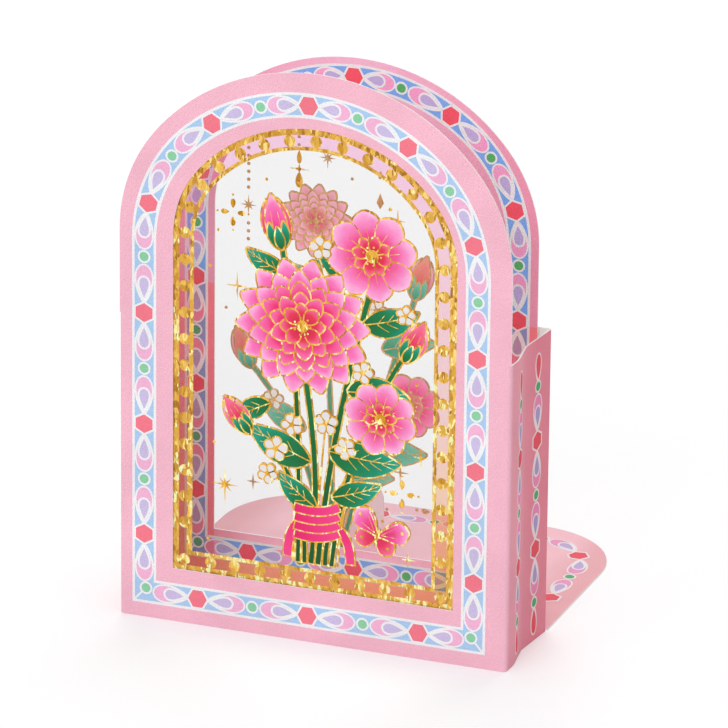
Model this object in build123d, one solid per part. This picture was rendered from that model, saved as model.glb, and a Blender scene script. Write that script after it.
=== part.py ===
from build123d import *
from math import cos, radians, tan
import os

# A free-standing greeting card: an arched front panel and an arched back panel stand parallel,
# joined at the sides by gussets that are pinched in along the middle. Each panel has an arched
# window with a clear film glued behind it. The back panel turns out at its foot into a tail
# that lies on the table, and a tongue glued to the tail stands up behind the back window.
# Millimetres. X runs across the card, Y from front to back, Z up from the table.

# Materials
board = 0.45                # printed card
film = 0.20                 # clear film

# Front panel
card_width = 120.0
spring_height = 119.5       # top of the straight sides
shoulder_radius = 48.0      # arc at each shoulder of the arch
shoulder_turn = 39.2        # degrees that the shoulder turns before the flatter crown takes over
window_margin = 16.5        # band of card left around the front window
film_margin = 5.0           # front film set back from the panel's edge

# Side gussets and the glue tabs that end them
gusset_height = 93.7
front_fold_radius = 1.0
swell_depth = 6.0           # the front strip bellies out this far behind the front face
swell = 0.3
swell_radius = 12.0
valley_depth = 17.4         # the pinch between the front and rear strips
valley_inset = 1.5
valley_radius = 0.9
rear_fold_radius = 0.9
rear_swell = 0.2            # the rear fold stands this far outside the front panel's width
tab_width = 15.3
tab_lift = 1.2              # the tabs are trimmed clear of the tail

# Back panel
box_depth = 33.3            # front face to back panel's face
back_inset = 4.0            # the back arch is this much smaller all round
back_drop = 1.1
back_window_margin = 12.0
back_window_sill = 16.6
back_film_margin = 2.0
back_film_foot = 2.5

# Tail
tail_length = 77.5          # from the back panel's face
tail_overhang = 0.5         # the tail stands out past the front panel's sides
tail_corner = 28.5
foot_fold_radius = 1.0
wing_clearance = 0.4        # the tail's wings start this far behind the gussets' rear folds

# Tongue
tongue_width = 12.2
tongue_height = 35.5        # above the tail
tongue_setback = 10.6       # from the back panel's face to the tongue's heel
tongue_lean = 3.5           # degrees that the tongue leans towards the window
tongue_foot = 12.0          # the part glued to the tail
tongue_fold_radius = 0.8

half_width = card_width / 2
shoulder_x = half_width - shoulder_radius
tail_width = card_width + 2 * tail_overhang
overall_depth = box_depth + tail_length
reach = spring_height + card_width  # upper end of profiles that an arch then trims
tab_face = box_depth + board + film + board


def arch(inset, bottom, drop=0.0):
    """Arched outline in the XZ plane, set in from the front panel's edge by inset."""
    side = half_width - inset
    spring = spring_height - drop
    shoulder = shoulder_radius - inset
    crown = shoulder + shoulder_x / cos(radians(shoulder_turn))
    crown_centre = spring - shoulder_x * tan(radians(shoulder_turn))
    with BuildSketch(Plane.XZ) as outline:
        with BuildLine():
            Polyline((-side, spring), (-side, bottom), (side, bottom), (side, spring))
            CenterArc((shoulder_x, spring), shoulder, 0, shoulder_turn)
            CenterArc((0, crown_centre), crown, shoulder_turn, 180 - 2 * shoulder_turn)
            CenterArc((-shoulder_x, spring), shoulder, 180 - shoulder_turn, shoulder_turn)
        make_face()
    return outline.sketch


def sheet(outline, front, thickness):
    """Flat sheet standing upright, its front face at the given depth."""
    return Pos(0, front, 0) * extrude(outline, amount=thickness, dir=(0, 1, 0))


def make_cover():
    # One folded sheet: front panel, a pinched gusset at each side, and a glue tab at each end.
    right = [
        (half_width, 0),
        (half_width + swell, swell_depth),
        (half_width - valley_inset, valley_depth),
        (half_width + rear_swell, tab_face),
        (half_width + rear_swell - tab_width, tab_face),
    ]
    left = [(-x, y) for x, y in reversed(right)]
    folds = [front_fold_radius, swell_radius, valley_radius, rear_fold_radius]
    with BuildSketch() as section:
        with BuildLine():
            path = FilletPolyline(*left, *right, radius=folds[::-1] + folds)
            offset(path, amount=board, side=Side.LEFT)
        make_face()
    ribbon = extrude(section.sketch, amount=gusset_height)

    # Above the gussets the front panel is flat, with a cut edge all round its arch.
    above = Pos(0, 0, gusset_height) * Box(
        2 * card_width, 4 * board, reach, align=(Align.CENTER, Align.CENTER, Align.MIN)
    )
    head = sheet(arch(0, 0), 0, board) & above
    window = sheet(arch(window_margin, window_margin), -board, 3 * board)

    # The foot of each tab is trimmed, so that the tail passes beneath it.
    trim_width = 2 * (half_width - front_fold_radius)
    trim = Pos(0, tab_face, 0) * Box(
        trim_width, 4 * board, tab_lift, align=(Align.CENTER, Align.CENTER, Align.MIN)
    )
    return ribbon + head - window - trim


def make_back():
    # One folded sheet: back panel and tail.
    neck = 2 * (half_width - back_inset)
    tail_front = tab_face + wing_clearance
    fold = bent_strip(box_depth, tail_front + foot_fold_radius, reach, foot_fold_radius, neck)
    panel = fold & sheet(arch(back_inset, 0, back_drop), 0, overall_depth)
    window = arch(back_inset + back_window_margin, back_window_sill, back_drop)
    panel -= sheet(window, box_depth - board, 3 * board)

    # The tail widens behind the tabs, and only its far corners are round.
    length = overall_depth - tail_front
    with BuildSketch() as outline:
        with Locations((0, tail_front + length / 2)):
            Rectangle(tail_width, length)
        fillet(outline.vertices().sort_by(Axis.Y)[-2:], radius=tail_corner)
    return panel + extrude(outline.sketch, amount=board)


def make_tongue():
    # A folded strip: its foot lies on the tail, and its round-ended blade leans to the front.
    heel = box_depth + tongue_setback
    foot_end = heel + tongue_foot
    strip = bent_strip(heel, foot_end, tongue_height, tongue_fold_radius, tongue_width, tongue_lean)
    straight = tongue_height - tongue_width / 2
    with BuildSketch(Plane.XZ) as outline:
        with Locations((0, straight / 2)):
            Rectangle(tongue_width, straight)
        with Locations((0, straight)):
            Circle(tongue_width / 2)
    return Pos(0, 0, board) * (strip & sheet(outline.sketch, 0, overall_depth))


def bent_strip(heel, foot_end, height, radius, width, lean=0.0):
    """Strip of card that comes down to its heel and turns back along the surface below it."""
    top = heel - height * tan(radians(lean))
    with BuildSketch(Plane.YZ) as section:
        with BuildLine():
            path = FilletPolyline((top, height), (heel, 0), (foot_end, 0), radius=radius)
            offset(path, amount=board, side=Side.LEFT)
        make_face()
    return extrude(section.sketch, amount=width / 2, both=True)


def make_front_film():
    return sheet(arch(film_margin, film_margin), board, film)


def make_back_film():
    return sheet(arch(back_inset + back_film_margin, back_film_foot, back_drop), box_depth + board, film)


parts = {
    "cover": make_cover(),
    "front_film": make_front_film(),
    "back_panel": make_back(),
    "back_film": make_back_film(),
    "tongue": make_tongue(),
}

# The origin lies on the table, under the middle of the card's footprint.
os.makedirs("parts", exist_ok=True)
for name, solid in parts.items():
    export_step(Pos(0, -overall_depth / 2, 0) * solid, f"parts/{name}.step")
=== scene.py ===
from math import cos, hypot, log, pi, radians, sin, tan

import bpy
from mathutils import Matrix, Vector


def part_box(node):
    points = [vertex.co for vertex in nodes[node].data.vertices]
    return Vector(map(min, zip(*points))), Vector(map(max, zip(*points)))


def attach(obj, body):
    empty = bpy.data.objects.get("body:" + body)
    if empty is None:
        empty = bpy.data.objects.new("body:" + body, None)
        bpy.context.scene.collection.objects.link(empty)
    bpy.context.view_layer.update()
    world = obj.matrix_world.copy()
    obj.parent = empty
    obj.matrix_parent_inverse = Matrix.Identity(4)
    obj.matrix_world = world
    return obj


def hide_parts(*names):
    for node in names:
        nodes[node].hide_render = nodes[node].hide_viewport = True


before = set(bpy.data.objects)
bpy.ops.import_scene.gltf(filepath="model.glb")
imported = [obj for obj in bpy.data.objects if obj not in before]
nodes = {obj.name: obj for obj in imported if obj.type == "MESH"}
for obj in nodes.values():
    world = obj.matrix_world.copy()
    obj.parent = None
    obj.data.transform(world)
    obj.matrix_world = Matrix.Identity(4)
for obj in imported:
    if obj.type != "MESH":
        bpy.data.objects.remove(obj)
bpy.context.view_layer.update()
mm = 0.001
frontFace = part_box("cover")[0].y / mm  # depth of the front panel's face
printSlip = 0.5  # the printing lies this far to the right of each sheet's middle
print("frame loaded:", len(nodes), "folded sheets and films")

# Camera

camera = {
    "place": (704.3, -1875.4, 809.7),  # in mm
    "turn": 20.73,
    "tilt": 69.66,
    "roll": 0.60,
    "lens": 359.7,
    "sensor": 36,
    "sightEnd": 50,  # in metres
}


def makeCamera(setup):
    data = bpy.data.cameras.new("camera")
    data.lens = setup["lens"]
    data.sensor_width = setup["sensor"]
    data.clip_end = setup["sightEnd"]
    cam = bpy.data.objects.new("camera", data)
    stand = Matrix.Translation(Vector(setup["place"]) * mm)
    for angle, axis in (("turn", "Z"), ("tilt", "X"), ("roll", "Z")):
        stand = stand @ Matrix.Rotation(radians(setup[angle]), 4, axis)
    cam.matrix_world = stand
    bpy.context.scene.collection.objects.link(cam)
    bpy.context.scene.camera = cam


makeCamera(camera)
bpy.context.scene.view_settings.view_transform = "Standard"
print("camera placed")

# Shader helpers


def tint(color):
    # a colour given as 0 to 255 on screen, as the shader's linear values
    shares = [value / 255 for value in color]
    return tuple(v / 12.92 if v <= 0.04045 else ((v + 0.055) / 1.055) ** 2.4 for v in shares) + (1.0,)


def isOutput(value):
    return isinstance(value, bpy.types.NodeSocket)


def feed(tree, socket, value):
    # links another node's output to the socket, or sets it to a constant
    if isOutput(value):
        tree.links.new(value, socket)
    else:
        socket.default_value = value


def addNode(tree, kind, inputs=None, **settings):
    node = tree.nodes.new(kind)
    for name, value in settings.items():
        setattr(node, name, value)
    for name, value in (inputs or {}).items():
        feed(tree, node.inputs[name], value)
    return node


def calc(tree, operation, first, second=0.0, clamp=False):
    inputs = {0: first, 1: second}
    return addNode(tree, "ShaderNodeMath", inputs, operation=operation, use_clamp=clamp).outputs[0]


def calcVector(tree, operation, first, second=(0.0, 0.0, 0.0)):
    # second is a vector, or for SCALE a number
    inputs = {0: first, "Scale" if operation == "SCALE" else 1: second}
    return addNode(tree, "ShaderNodeVectorMath", inputs, operation=operation).outputs[0]


def remap(tree, value, low, high, start=0.0, end=1.0):
    # low becomes start and high becomes end, with nothing beyond them
    limits = {"Value": value, "From Min": low, "From Max": high, "To Min": start, "To Max": end}
    return addNode(tree, "ShaderNodeMapRange", limits).outputs[0]


def noise(tree, position, scale, detail=1.0):
    inputs = {"Vector": position, "Scale": scale, "Detail": detail}
    return addNode(tree, "ShaderNodeTexNoise", inputs).outputs["Fac"]


def wander(tree, position, scale, detail, amount):
    # noise that drifts to both sides of 0
    return calc(tree, "MULTIPLY", calc(tree, "SUBTRACT", noise(tree, position, scale, detail), 0.5), amount)


def coordinates(tree, kind="Object"):
    return addNode(tree, "ShaderNodeTexCoord").outputs[kind]


def axes(tree, vector):
    return addNode(tree, "ShaderNodeSeparateXYZ", {0: vector}).outputs[:3]


def sizeOf(tree, value):
    return calc(tree, "ABSOLUTE", value)


def blendColors(tree, share, first, second):
    # each colour is another node's output or a screen colour
    mix = addNode(tree, "ShaderNodeMix", {0: share}, data_type="RGBA")
    for index, color in ((6, first), (7, second)):
        feed(tree, mix.inputs[index], color if isOutput(color) else tint(color))
    return mix.outputs[2]


def addRamp(tree, stops, factor, steps=False):
    # stops are places from 0 to 1 with a screen colour each
    ramp = addNode(tree, "ShaderNodeValToRGB", {"Fac": factor})
    ramp.color_ramp.interpolation = "CONSTANT" if steps else "LINEAR"
    elements = ramp.color_ramp.elements
    while len(elements) < len(stops):
        elements.new(0.5)
    for element, (place, color) in zip(elements, stops):
        element.position = place
        element.color = tint(color)
    return ramp.outputs[0]


def addBump(tree, shader, height, depth):
    bump = addNode(tree, "ShaderNodeBump", {"Height": height, "Distance": depth * mm, "Strength": 1.0})
    feed(tree, shader.inputs["Normal"], bump.outputs[0])


def newMaterial(name, **sockets):
    material = bpy.data.materials.new(name)
    material.use_nodes = True
    tree = material.node_tree
    shader = tree.nodes["Principled BSDF"]
    for socket, value in sockets.items():
        shader.inputs[socket.replace("_", " ")].default_value = value
    return material, tree, shader


# Floor and light

studio = {
    "floorSize": 9.0,
    "floorDrop": 0.05,
    "floorColor": (0.86, 0.86, 0.86, 1),
    "floorRoughness": 0.9,
    "floorGlow": 0.18,  # keeps the floor white where the camera sees it
    "white": (1, 1, 1, 1),
    "worldLight": 0.6,
    "aim": (0.0, 0.0, 0.08),
    "lamps": {  # place, size and power
        "key": ((-0.5, -1.55, 1.1), 1.1, 5.0),
        "fill": ((0.3, -1.6, 1.1), 0.9, 8.0),
        "top": ((-0.2, 0.9, 1.5), 1.2, 8.6),
    },
}


def seenByCamera(tree):
    # 1 for what the camera sees, also in a gloss or through clear film; 0 for light on its way
    path = addNode(tree, "ShaderNodeLightPath").outputs
    seen = calc(tree, "MAXIMUM", path["Is Camera Ray"], path["Is Glossy Ray"])
    return calc(tree, "MAXIMUM", seen, path["Is Transmission Ray"])


def makeFloor(setup):
    half = setup["floorSize"] / 2
    mesh = bpy.data.meshes.new("floor")
    corners = [(-half, -half, 0), (half, -half, 0), (half, half, 0), (-half, half, 0)]
    mesh.from_pydata(corners, [], [(0, 1, 2, 3)])
    floor = bpy.data.objects.new("floor", mesh)
    floor.location.z = -setup["floorDrop"] * mm
    bpy.context.scene.collection.objects.link(floor)
    looks = {"Base_Color": setup["floorColor"], "Roughness": setup["floorRoughness"]}
    material, tree, shader = newMaterial("floorPaper", **looks, Emission_Color=setup["white"])
    glow = calc(tree, "MULTIPLY", seenByCamera(tree), setup["floorGlow"])
    feed(tree, shader.inputs["Emission Strength"], glow)
    mesh.materials.append(material)


def makeLamp(name, place, size, power):
    data = bpy.data.lights.new(name, "AREA")
    data.size = size
    data.energy = power
    lamp = bpy.data.objects.new(name, data)
    lamp.location = place
    lamp.rotation_euler = (Vector(studio["aim"]) - Vector(place)).to_track_quat("-Z", "Y").to_euler()
    bpy.context.scene.collection.objects.link(lamp)


def makeWorld(setup):
    world = bpy.data.worlds.new("studio")
    bpy.context.scene.world = world
    world.use_nodes = True
    tree = world.node_tree
    sky = tree.nodes["Background"].inputs
    feed(tree, sky["Color"], setup["white"])
    feed(tree, sky["Strength"], remap(tree, seenByCamera(tree), 0.0, 1.0, setup["worldLight"], 1.0))


makeFloor(studio)
makeWorld(studio)
for name, lamp in studio["lamps"].items():
    makeLamp(name, *lamp)
print("floor and lights ready")

# Card and ink

paper = {
    "roughness": 0.72,
    "specular": 0.3,
    "speckle": 0.085,  # how far the ink's strength wanders
    "grains": (2200.0, 60.0),  # scales of the fine and the broad unevenness
    "grainSpan": (0.6, 1.4),
    "twillPitch": 0.66,  # spacing of the embossed diagonal lines, in mm
    "twillDepth": 0.085,
    "twillGrain": 900.0,  # scale of the unevenness that breaks the lines up
    "twillShift": 4.0,
    "backEmboss": 0.5,  # the back panel and the tongue are embossed this much less
    "board": 0.45,
    "middle": 17,  # half way between the two panels, from the front face
    "gussetTop": 93.7,
    "tabInner": 43.9,
    "windowSide": 50,  # a side edge nearer the middle than this is the window's
    "tailTop": 1.5,  # card below this height belongs to the tail
}
spans = {  # where one tone has given way to the next, in mm
    "gusset": (0.8, 2.2),  # depth behind the front face
    "gussetRear": (10, 24),
    "backSide": (6, 54),  # distance from the middle
    "sillSide": (32, 54),
    "tail": (44, 54),
    "sill": (22, 14),  # height
}
sheetColors = {
    "front": (251, 190, 209),
    # painted shade: the gussets are a deeper pink than the front, deeper still towards the rear
    "gusset": (240, 160, 176),
    "gussetRear": (236, 136, 154),
    "back": (244, 180, 207),
    # painted shade: a deeper pink towards the sides of the back panel's front face
    "backSide": (240, 150, 178),
    # painted light: a brighter pink on the back panel's sill, which gives way to painted shade at its ends
    "sill": (255, 182, 202),
    # painted shade: a deeper pink where a glue tab lies behind the back panel, and at the sill's ends
    "backShaded": (255, 126, 140),
    # painted shade on the tail's sides, and painted light in its paler middle
    "tail": (240, 180, 186),
    "tailMiddle": (255, 202, 211),
    "tab": (250, 178, 200),
    "cut": (252, 248, 246),
    "inside": (252, 247, 246),
    "tongue": (253, 222, 228),
}


def spanned(tree, value, name, origin=0.0):
    # rises from 0 to 1 over the named span, measured from the origin
    start, end = spans[name]
    return remap(tree, value, (origin + start) * mm, (origin + end) * mm)


def speckled(tree, position, color, amount):
    # ink and card are never quite even
    fine, broad = (noise(tree, position, scale, 2.0) for scale in paper["grains"])
    level = remap(tree, calc(tree, "ADD", fine, broad), *paper["grainSpan"], 1 - amount, 1 + amount)
    return calcVector(tree, "SCALE", color if isOutput(color) else tint(color)[:3], level)


def newCard(name):
    looks = {"Roughness": paper["roughness"], "Specular_IOR_Level": paper["specular"]}
    material, tree, shader = newMaterial(name, **looks)
    return material, tree, shader, coordinates(tree)


def finishCard(tree, shader, position, color, emboss=1.0):
    # embossed diagonal lines, broken up so that they look pressed and not ruled
    feed(tree, shader.inputs["Base Color"], speckled(tree, position, color, paper["speckle"]))
    x, y, z = axes(tree, position)
    slanted = calc(tree, "SUBTRACT", z, calc(tree, "ADD", x, y))
    uneven = noise(tree, position, paper["twillGrain"])
    phase = calc(tree, "MULTIPLY", slanted, 2 * pi / (paper["twillPitch"] * mm))
    phase = calc(tree, "ADD", phase, calc(tree, "MULTIPLY", uneven, paper["twillShift"]))
    height = calc(tree, "ADD", calc(tree, "MULTIPLY", calc(tree, "SINE", phase), 0.5), uneven)
    addBump(tree, shader, height, paper["twillDepth"] * emboss)


def tabShade(tree, position):
    # mask for painted shade: 1 where a glue tab lies behind the back panel and keeps light out, 0 elsewhere
    x, _, z = axes(tree, position)
    low = calc(tree, "LESS_THAN", z, paper["gussetTop"] * mm)
    return calc(tree, "MULTIPLY", low, calc(tree, "GREATER_THAN", sizeOf(tree, x), paper["tabInner"] * mm))


def inkMaterial(name, color, shaded=None, emboss=1.0):
    # an ink on card; shaded is its colour in painted shade, where a glue tab behind the back panel keeps
    # light out
    material, tree, shader, position = newCard(name)
    if shaded:
        color = blendColors(tree, tabShade(tree, position), color, shaded)
    finishCard(tree, shader, position, color, emboss)
    return material


def makeCoverCard(colors):
    # printed outside, bare board inside and on every cut edge; the gussets are a deeper pink as painted
    # shade, deepest towards the rear
    material, tree, shader, position = newCard("coverCard")
    x, y, z = axes(tree, position)
    facingX, facingY, facingZ = axes(tree, coordinates(tree, "Normal"))
    depth = calc(tree, "SUBTRACT", y, (frontFace + paper["middle"]) * mm)
    outward = calc(tree, "ADD", calc(tree, "MULTIPLY", x, facingX), calc(tree, "MULTIPLY", depth, facingY))
    printed = calc(tree, "GREATER_THAN", outward, 0.0)
    level = calc(tree, "GREATER_THAN", sizeOf(tree, facingZ), 0.5)
    sideways = calc(tree, "LESS_THAN", sizeOf(tree, facingY), 0.5)
    above = calc(tree, "GREATER_THAN", z, paper["gussetTop"] * mm)
    atWindow = calc(tree, "LESS_THAN", sizeOf(tree, x), paper["windowSide"] * mm)
    upright = calc(tree, "MULTIPLY", sideways, calc(tree, "MAXIMUM", above, atWindow))
    rearShade = spanned(tree, y, "gussetRear", frontFace)
    color = blendColors(tree, rearShade, colors["gusset"], colors["gussetRear"])
    color = blendColors(tree, calc(tree, "GREATER_THAN", facingY, 0.5), color, colors["tab"])
    color = blendColors(tree, spanned(tree, y, "gusset", frontFace), colors["front"], color)
    color = blendColors(tree, printed, colors["inside"], color)
    color = blendColors(tree, calc(tree, "MAXIMUM", level, upright), color, colors["cut"])
    finishCard(tree, shader, position, color)
    return material


def makeBackCard(colors):
    # pink on both faces with white cut edges; in front, painted shade deepens it to the sides and painted
    # light brightens the sill, and the tail is paler in its middle as painted light
    material, tree, shader, position = newCard("backCard")
    x, _, z = axes(tree, position)
    _, facingY, facingZ = axes(tree, coordinates(tree, "Normal"))
    across = sizeOf(tree, x)
    low = calc(tree, "LESS_THAN", z, paper["tailTop"] * mm)
    tailEdge = calc(tree, "MULTIPLY", low, calc(tree, "LESS_THAN", sizeOf(tree, facingZ), 0.5))
    sideways = calc(tree, "LESS_THAN", sizeOf(tree, facingY), 0.5)
    panelEdge = calc(tree, "MULTIPLY", calc(tree, "SUBTRACT", 1.0, low), sideways)
    forward = calc(tree, "LESS_THAN", facingY, 0.0)
    side = calc(tree, "MULTIPLY", spanned(tree, across, "backSide"), forward)
    sill = calc(tree, "MULTIPLY", spanned(tree, z, "sill"), forward)
    sillColor = blendColors(tree, spanned(tree, across, "sillSide"), colors["sill"], colors["backShaded"])
    tailColor = blendColors(tree, spanned(tree, across, "tail"), colors["tailMiddle"], colors["tail"])
    color = blendColors(tree, side, colors["back"], colors["backSide"])
    color = blendColors(tree, sill, color, sillColor)
    color = blendColors(tree, tabShade(tree, position), color, colors["backShaded"])
    color = blendColors(tree, low, color, tailColor)
    color = blendColors(tree, calc(tree, "MAXIMUM", tailEdge, panelEdge), color, colors["cut"])
    finishCard(tree, shader, position, color, paper["backEmboss"])
    return material


def dress(node, material):
    for slot in nodes[node].material_slots:
        slot.material = material


dress("cover", makeCoverCard(sheetColors))
dress("back_panel", makeBackCard(sheetColors))
dress("tongue", inkMaterial("tongueCard", sheetColors["tongue"], emboss=paper["backEmboss"]))
print("card dressed")

# Drawing on a sheet: u and v are millimetres on the sheet, lift is the height of ink above it


def makeCanvas(origin, right=(1, 0, 0), up=(0, 0, 1), behind=False):
    # behind prints on the sheet's other face, as it shows through from the front
    right, up = Vector(right).normalized(), Vector(up).normalized()
    out = right.cross(up) * (-1 if behind else 1)
    return {"origin": Vector(origin), "right": right, "up": up, "out": out, "behind": behind}


def onCanvas(canvas, u, v, lift):
    spot = canvas["origin"] + canvas["right"] * u + canvas["up"] * v + canvas["out"] * lift
    return spot * mm


def turnsLeft(outline):
    total = 0.0
    for (u0, v0), (u1, v1) in zip(outline, outline[1:] + outline[:1]):
        total += u0 * v1 - u1 * v0
    return total > 0


def makePiece(name, canvas, verts, faces, material):
    if canvas["behind"]:
        faces = [face[::-1] for face in faces]
    mesh = bpy.data.meshes.new(name)
    mesh.from_pydata(verts, [], faces)
    mesh.materials.append(material)
    piece = bpy.data.objects.new(name, mesh)
    bpy.context.scene.collection.objects.link(piece)
    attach(piece, "root")
    return piece


heightStep = 0.003


def printShapes(name, canvas, outlines, lift, material, base=0.0):
    # each outline becomes a thin closed layer of ink, foil or varnish; neighbours differ a little in
    # height, so that no two faces share one plane where they overlap
    verts, faces = [], []
    for index, outline in enumerate(outlines):
        if not turnsLeft(outline):
            outline = outline[::-1]
        start, count = len(verts), len(outline)
        top = lift + heightStep * (index % 4)
        verts += [onCanvas(canvas, u, v, base) for u, v in outline]
        verts += [onCanvas(canvas, u, v, top) for u, v in outline]
        faces.append(tuple(start + i for i in reversed(range(count))))
        faces.append(tuple(start + count + i for i in range(count)))
        for i in range(count):
            j = (i + 1) % count
            faces.append((start + i, start + j, start + count + j, start + count + i))
    return makePiece(name, canvas, verts, faces, material)


def printRings(name, canvas, rings, lift, material, base=0.0):
    # each ring is a pair of outlines with the same number of points
    verts, faces = [], []
    for outer, inner in rings:
        if not turnsLeft(outer):
            outer, inner = outer[::-1], inner[::-1]
        start, count = len(verts), len(outer)
        for line, height in ((outer, base), (outer, lift), (inner, base), (inner, lift)):
            verts += [onCanvas(canvas, u, v, height) for u, v in line]
        for i in range(count):
            j = (i + 1) % count
            outLow, outHigh, inLow, inHigh = (start + k * count + i for k in range(4))
            outLow2, outHigh2, inLow2, inHigh2 = (start + k * count + j for k in range(4))
            faces.append((outHigh, outHigh2, inHigh2, inHigh))
            faces.append((outLow, inLow, inLow2, outLow2))
            faces.append((outLow, outLow2, outHigh2, outHigh))
            faces.append((inLow, inHigh, inHigh2, inLow2))
    return makePiece(name, canvas, verts, faces, material)


# Outlines


def archOutline(shape, grow, steps=28):
    # an arch with square lower corners, grown outwards by the given amount, from its lower left corner
    middle, spring, turn = shape["middle"], shape["spring"], shape["turn"]
    offset = shape["half"] - shape["shoulder"]
    shoulder = shape["shoulder"] + grow
    crown = shoulder + offset / cos(radians(turn))
    drop = offset * tan(radians(turn))
    points = [(middle + side * (shape["half"] + grow), shape["bottom"] - grow) for side in (-1, 1)]
    for u, v, radius, first, last, places in (
        (middle + offset, spring, shoulder, 0, turn, range(steps + 1)),
        (middle, spring - drop, crown, turn, 180 - turn, range(1, 2 * steps)),
        (middle - offset, spring, shoulder, 180 - turn, 180, range(steps + 1)),
    ):
        pace = (last - first) / (2 * steps if u == middle else steps)
        for i in places:
            angle = radians(first + pace * i)
            points.append((u + radius * cos(angle), v + radius * sin(angle)))
    return points


def archSide(shape, side, grow=0.0):
    # from the top of the arch down one side: pieces of arc and straight run
    offset = shape["half"] - shape["shoulder"]
    shoulder = shape["shoulder"] + grow
    turn = radians(shape["turn"])
    crown = shoulder + offset / cos(turn)
    low = shape["spring"] - offset * tan(turn)
    return {
        "middle": shape["middle"],
        "side": side,
        "runs": [
            ("arc", (0, low), crown, pi / 2, turn),
            ("arc", (offset, shape["spring"]), shoulder, turn, 0.0),
            ("line", (offset + shoulder, shape["spring"]), (offset + shoulder, shape["bottom"] - grow)),
        ],
    }


def straightPath(start, end, middle=0.0, side=1):
    return {"middle": middle, "side": side, "runs": [("line", start, end)]}


def alongPath(path, distance, across):
    # the point at a distance along the path, moved across it; across grows to the path's left
    left = distance
    for index, run in enumerate(path["runs"]):
        last = index == len(path["runs"]) - 1
        if run[0] == "line":
            (u0, v0), (u1, v1) = run[1], run[2]
            length = hypot(u1 - u0, v1 - v0)
            if left <= length or last:
                du, dv = (u1 - u0) / length, (v1 - v0) / length
                u, v = u0 + du * left - dv * across, v0 + dv * left + du * across
                break
        else:
            (cu, cv), radius, first, final = run[1:]
            length = radius * abs(final - first)
            if left <= length or last:
                turned = 1 if final > first else -1
                angle = first + turned * left / radius
                reach = radius - turned * across
                u, v = cu + reach * cos(angle), cv + reach * sin(angle)
                break
        left -= length
    return (path["middle"] + path["side"] * u, v)


def followPath(path, outline, start, heading=1, stretch=1.0):
    # bends an outline of (forward, sideways) points along a path
    return [alongPath(path, start + heading * forward * stretch, sideways) for forward, sideways in outline]


def disc(radius, steps=28, center=(0.0, 0.0)):
    return [
        (center[0] + radius * cos(2 * pi * i / steps), center[1] + radius * sin(2 * pi * i / steps))
        for i in range(steps)
    ]


def hexagon(length, width):
    half = [(length, 0), (length / 2, width), (-length / 2, width)]
    return half + [(-u, -v) for u, v in half]


def teardrop(tip, end, width, point=0.8, steps=30):
    # pointed at the tip and round at the end; a larger point makes the tip's sides straighter
    widest = point / (point + 0.5)
    fullest = widest ** point * (1 - widest) ** 0.5
    points = []
    for i in range(steps):
        angle = 2 * pi * i / steps
        share = (1 - cos(angle)) / 2
        side = 1 if angle < pi else -1
        half = width * share ** point * (1 - share) ** 0.5 / fullest
        points.append((tip + (end - tip) * share, side * half))
    return points


# Jewelled border: hexagons and dots in turn, with a drop between each two

motif = {
    "pitch": 17.12,
    "hexLength": 2.9,
    "hexWidth": 2.62,
    "hexPoint": 1.15,  # the white line is this much wider at a hexagon's points
    "dotRadius": 1.4,
    "whiteLine": 0.6,
    "dropLine": (2.7, 15.0, 3.0, 0.8),  # tip, round end, half width and point, from the hexagon's middle
    "pink": (4.4, 14.42, 2.42, 0.8),
    "coreLine": (3.6, 11.35, 2.1, 1.0),
    "core": (4.6, 10.7, 1.45, 1.15),
    "sparkLine": (0.8, 10.6, 2.1),  # tip, round end and half width, from the last dot's middle
    "spark": (2.4, 10.0, 1.5),
}
inkLayers = {  # each layer's ink, and its height above the sheet
    "band": ("white", 0.015),
    "ground": ("blue", 0.030),
    "dropLine": ("white", 0.045),
    "line": ("white", 0.060),
    "pink": ("pink", 0.075),
    "red": ("red", 0.075),
    "green": ("green", 0.075),
    "coreLine": ("white", 0.090),
    "core": ("lavender", 0.105),
}


def newInkwell():
    return {layer: [] for layer in inkLayers}


def addHexagon(well, path, at, scale):
    grown = motif["whiteLine"] * scale
    length, width = motif["hexLength"] * scale, motif["hexWidth"] * scale
    around = hexagon(length + grown * motif["hexPoint"], width + grown)
    well["line"].append(followPath(path, around, at))
    well["red"].append(followPath(path, hexagon(length, width), at))


def addDot(well, spot, scale):
    radius = motif["dotRadius"] * scale
    well["line"].append(disc(radius + motif["whiteLine"] * scale, center=spot))
    well["green"].append(disc(radius, center=spot))


def addDrop(well, path, hexAt, dotAt, scale):
    heading = 1 if dotAt > hexAt else -1
    stretch = abs(dotAt - hexAt) / motif["pitch"]
    for layer in ("dropLine", "pink", "coreLine", "core"):
        tip, end, width, point = motif[layer]
        outline = teardrop(tip, end, width * scale, point)
        well[layer].append(followPath(path, outline, hexAt, heading, stretch))


def addSpark(well, path, dotAt, scale, heading):
    # the small red drop that ends a chain, tip towards its last dot
    for layer, shape in (("dropLine", "sparkLine"), ("red", "spark")):
        outline = teardrop(*(size * scale for size in motif[shape]))
        well[layer].append(followPath(path, outline, dotAt, heading))


def addStations(well, path, stops, scale, startsWithHexagon, skipFirst=False):
    # motifs at each stop in turn, and a drop from each hexagon to the dots beside it
    isHexagon = startsWithHexagon
    for index, stop in enumerate(stops):
        isShared = skipFirst and index == 0  # the other side has drawn it
        if isHexagon:
            if not isShared:
                addHexagon(well, path, stop, scale)
            if index + 1 < len(stops):
                addDrop(well, path, stop, stops[index + 1], scale)
            if index > 0:
                addDrop(well, path, stop, stops[index - 1], scale)
        elif not isShared:
            addDot(well, alongPath(path, stop, 0), scale)
        isHexagon = not isHexagon


def printWell(name, canvas, well, inks):
    for layer, outlines in well.items():
        if outlines:
            ink, height = inkLayers[layer]
            printShapes(name + "_" + layer, canvas, outlines, height, inks[ink])


def inkSet(name, colors, shaded=None):
    inks = {}
    for ink, color in colors.items():
        inks[ink] = inkMaterial(name + ink.capitalize(), color, shaded and shaded[ink])
    return inks


# Border on an arched panel

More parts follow.
